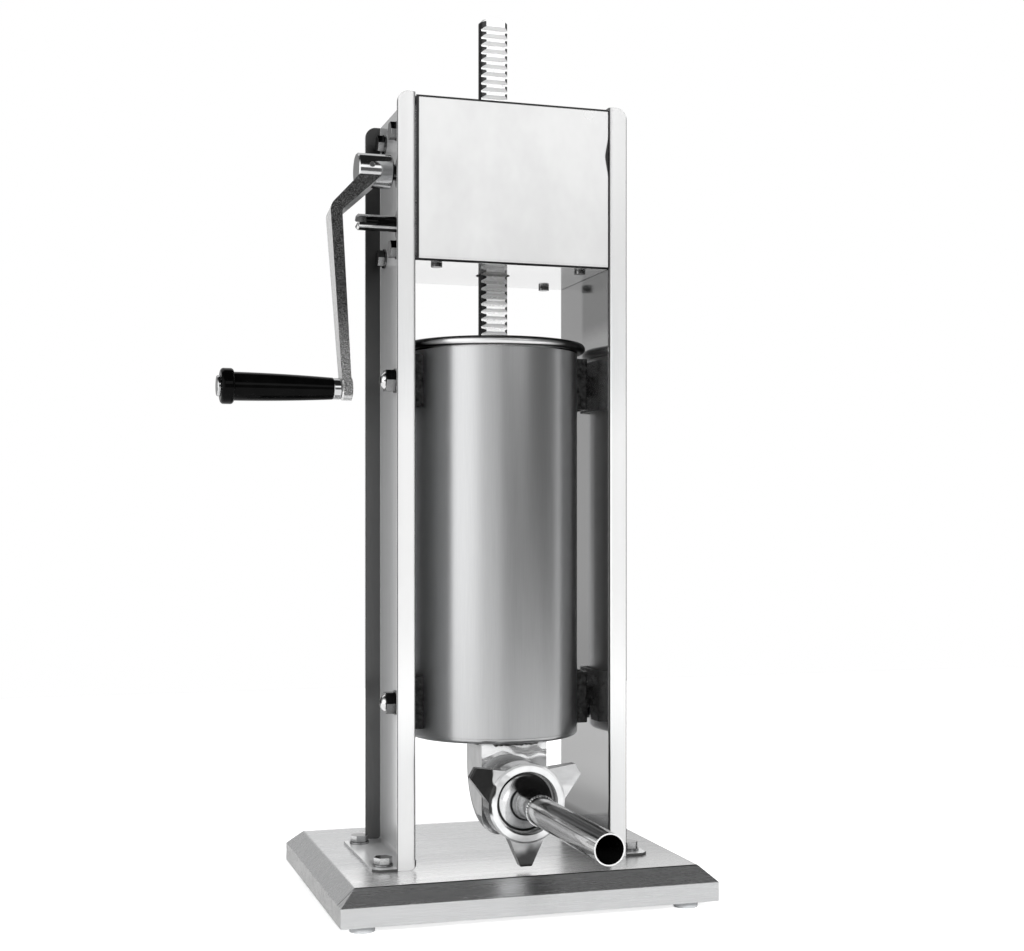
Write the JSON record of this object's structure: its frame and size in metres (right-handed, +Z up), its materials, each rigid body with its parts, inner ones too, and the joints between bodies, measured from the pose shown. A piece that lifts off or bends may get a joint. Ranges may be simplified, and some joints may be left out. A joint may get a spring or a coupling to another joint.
{
  "type": "sausage stuffer",
  "caption": "Vertical hand-cranked sausage stuffer: a rack-driven piston presses meat from a stainless cylinder out through an elbow, a wing nut and a stuffing tube.",
  "frame": {"origin": "on the worktop, in the middle of the ground that the part covers with its crank and tube", "axes": "+Z up along the cylinder, +Y to the back away from the stuffing tube, +X to the right away from the crank"},
  "size_m": [0.383, 0.411, 0.72],
  "materials": {
    "satin_stainless": "satin",
    "polished_stainless": "polished",
    "black_steel": "gloss black",
    "zinc_steel": "zinc plated",
    "machined_steel": "machined",
    "bush_bronze": "turned",
    "cast_iron": "rough cast, dark",
    "black_plastic": "gloss",
    "grey_rubber": "matt",
    "silicone": "matt"
  },
  "bodies": {
    "stand": {"acorn_nuts": "polished_stainless", "base_pan": "satin_stainless", "column_foot_bolts": "zinc_steel", "column_foot_nuts": "zinc_steel", "column_foot_washers": "zinc_steel", "column_left": "satin_stainless", "column_right": "satin_stainless", "cover_screws": "zinc_steel", "cylinder_barrel": "satin_stainless", "cylinder_floor": "satin_stainless", "foot_gussets": "satin_stainless", "foot_nuts": "zinc_steel", "foot_screws": "zinc_steel", "gearbox_bolts": "zinc_steel", "gearbox_cheek_left": "machined_steel", "gearbox_cheek_right": "machined_steel", "gearbox_floor": "machined_steel", "gearbox_roof": "machined_steel", "gearbox_washers": "zinc_steel", "hanger_lower_left": "black_steel", "hanger_lower_right": "black_steel", "hanger_upper_left": "black_steel", "hanger_upper_right": "black_steel", "hanging_pins": "polished_stainless", "housing_cover": "polished_stainless", "housing_top_plate": "polished_stainless", "outlet_elbow": "polished_stainless", "outlet_spigot": "polished_stainless", "pin_bushes": "black_steel", "pin_washers": "zinc_steel", "rack_bushes": "bush_bronze", "rubber_feet": "grey_rubber", "shaft_bushes_left": "bush_bronze", "shaft_bushes_right": "bush_bronze"},
    "rack": {"rack_bar": "machined_steel", "piston_disc": "polished_stainless", "piston_seal": "silicone", "piston_washer": "zinc_steel", "piston_screw": "zinc_steel"},
    "air_valve": {"air_valve": "polished_stainless"},
    "fast_shaft": {"fast_shaft": "machined_steel", "fast_shaft_rings": "zinc_steel", "rack_pinion": "machined_steel", "large_gear": "machined_steel", "fast_gear_pins": "zinc_steel"},
    "slow_shaft": {"slow_shaft": "machined_steel", "slow_shaft_rings": "zinc_steel", "small_pinion": "machined_steel", "slow_gear_pin": "zinc_steel"},
    "crank": {"crank_hub": "polished_stainless", "hub_pin": "zinc_steel", "crank_arm": "cast_iron", "grip_spindle": "polished_stainless"},
    "grip": {"grip_ferrule": "polished_stainless", "crank_grip": "black_plastic", "grip_cap": "black_plastic"},
    "stuffing_tube": {"stuffing_tube": "polished_stainless", "tube_funnel": "polished_stainless", "tube_gasket": "silicone"},
    "wing_nut": {"wing_nut": "polished_stainless"}
  },
  "joints": [
    {"name": "crank_turn", "type": "hinge", "parent": "stand", "child": "fast_shaft", "pos_m": [0.04097, 0.0509, 0.5852], "axis": [1, 0, 0], "range_deg": [-434, 1193.2]},
    {"name": "rack_slide", "type": "slide", "parent": "stand", "child": "rack", "axis": [0, 0, 1], "range_m": [-0.091, 0.25]},
    {"name": "slow_shaft_turn", "type": "hinge", "parent": "stand", "child": "slow_shaft", "pos_m": [0.04097, 0.0509, 0.54395], "axis": [1, 0, 0], "range_deg": [-3496.7, 1273.4]},
    {"name": "crank_pull", "type": "slide", "parent": "fast_shaft", "child": "crank", "axis": [-1, 0, 0], "range_m": [0, 0.03]},
    {"name": "grip_turn", "type": "hinge", "parent": "crank", "child": "grip", "pos_m": [-0.14647, 0.01964, 0.40793], "axis": [1, 0, 0], "continuous": true},
    {"name": "tube_pull", "type": "slide", "parent": "stand", "child": "stuffing_tube", "axis": [0, -1, 0], "range_m": [0, 0.012]},
    {"name": "nut_turn", "type": "hinge", "parent": "stuffing_tube", "child": "wing_nut", "pos_m": [0.04097, -0.0156, 0.0875], "axis": [0, -1, 0], "range_deg": [0, 1440]},
    {"name": "valve_lift", "type": "slide", "parent": "rack", "child": "air_valve", "axis": [0, 0, 1], "range_m": [0, 0.004]}
  ],
  "couplings": [
    {"joint": "rack_slide", "follows": "crank_turn", "m_per_rad": 0.012},
    {"joint": "slow_shaft_turn", "follows": "crank_turn", "ratio": -2.9286},
    {"joint": "tube_pull", "follows": "nut_turn", "m_per_rad": 0.00047746}
  ]
}
